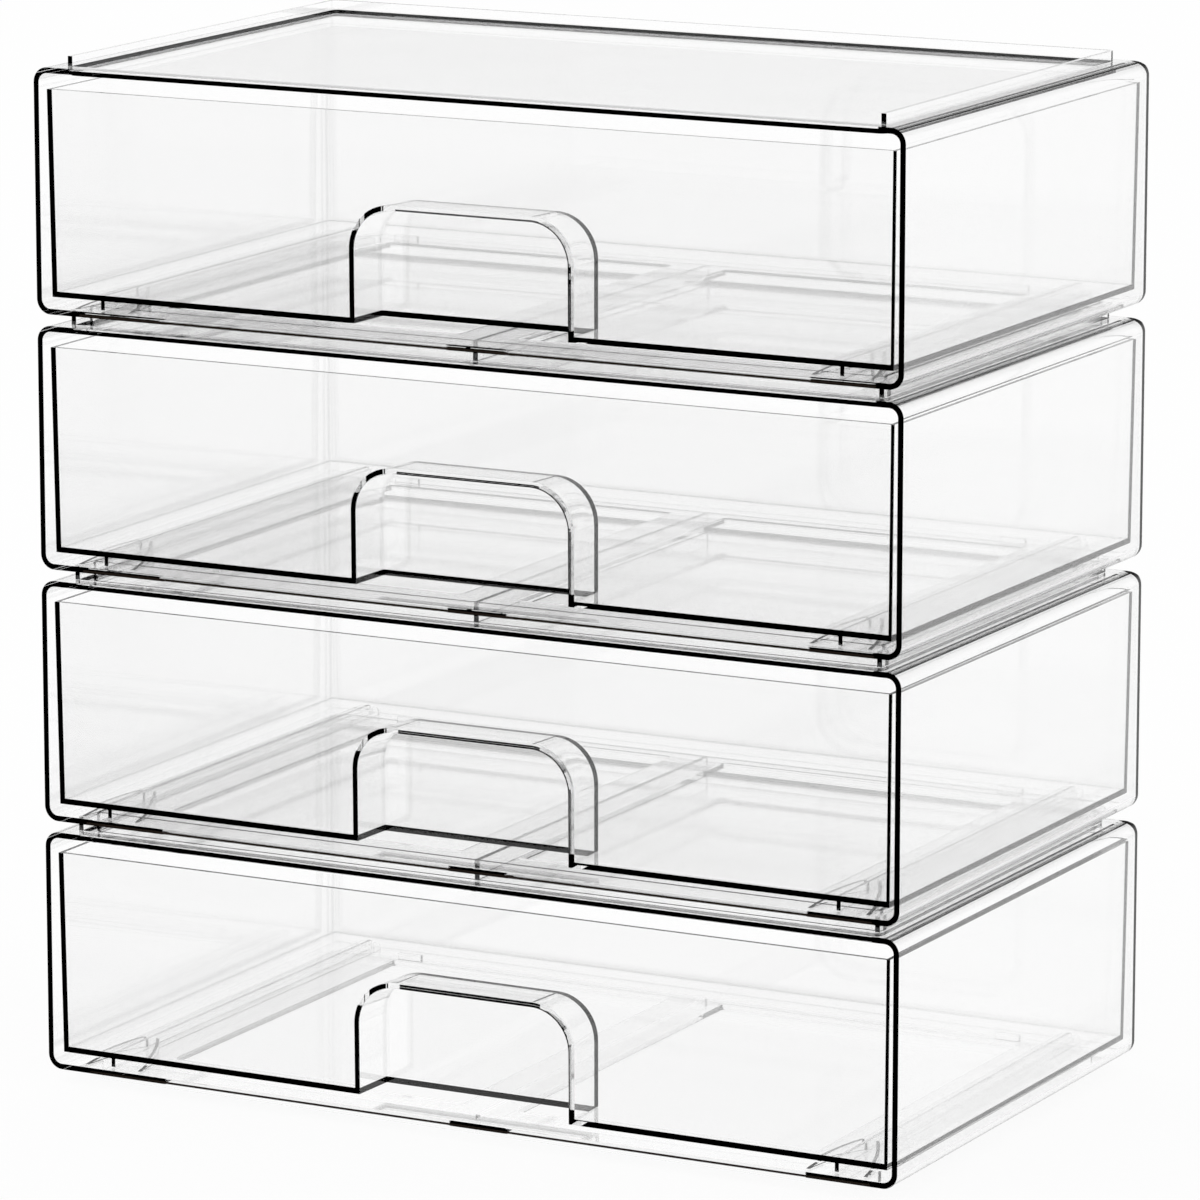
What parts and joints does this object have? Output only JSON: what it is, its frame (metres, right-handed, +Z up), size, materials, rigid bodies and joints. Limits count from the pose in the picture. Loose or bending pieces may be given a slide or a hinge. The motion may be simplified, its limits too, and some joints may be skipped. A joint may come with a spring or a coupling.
{
  "type": "stackable drawer organizer",
  "caption": "Stack of wide, shallow clear plastic drawer units: open-fronted casings that nest by ridge and skirt, each with a pull-out tray with an arched finger pocket.",
  "frame": {"origin": "on the surface that the stack stands on, below the middle of its width and depth", "axes": "+Z up, -Y out of the open fronts where the drawers pull out, +X to the right of someone facing them"},
  "size_m": [0.33, 0.195, 0.3623],
  "materials": {
    "casing": "clear polished polystyrene",
    "drawer": "clear polished polystyrene"
  },
  "bodies": {
    "casing_bottom": {"casing_bottom": "casing"},
    "casing_lower": {"casing_lower": "casing"},
    "casing_upper": {"casing_upper": "casing"},
    "casing_top": {"casing_top": "casing"},
    "drawer_bottom": {"drawer_bottom": "drawer"},
    "drawer_lower": {"drawer_lower": "drawer"},
    "drawer_upper": {"drawer_upper": "drawer"},
    "drawer_top": {"drawer_top": "drawer"}
  },
  "joints": [
    {"name": "lower_lift", "type": "slide", "parent": "casing_bottom", "child": "casing_lower", "axis": [0, 0, 1], "range_m": [0, 0.02]},
    {"name": "upper_lift", "type": "slide", "parent": "casing_lower", "child": "casing_upper", "axis": [0, 0, 1], "range_m": [0, 0.02]},
    {"name": "top_lift", "type": "slide", "parent": "casing_upper", "child": "casing_top", "axis": [0, 0, 1], "range_m": [0, 0.02]},
    {"name": "bottom_pull", "type": "slide", "parent": "casing_bottom", "child": "drawer_bottom", "axis": [0, -1, 0], "range_m": [0, 0.15]},
    {"name": "lower_pull", "type": "slide", "parent": "casing_lower", "child": "drawer_lower", "axis": [0, -1, 0], "range_m": [0, 0.15]},
    {"name": "upper_pull", "type": "slide", "parent": "casing_upper", "child": "drawer_upper", "axis": [0, -1, 0], "range_m": [0, 0.15]},
    {"name": "top_pull", "type": "slide", "parent": "casing_top", "child": "drawer_top", "axis": [0, -1, 0], "range_m": [0, 0.15]}
  ]
}
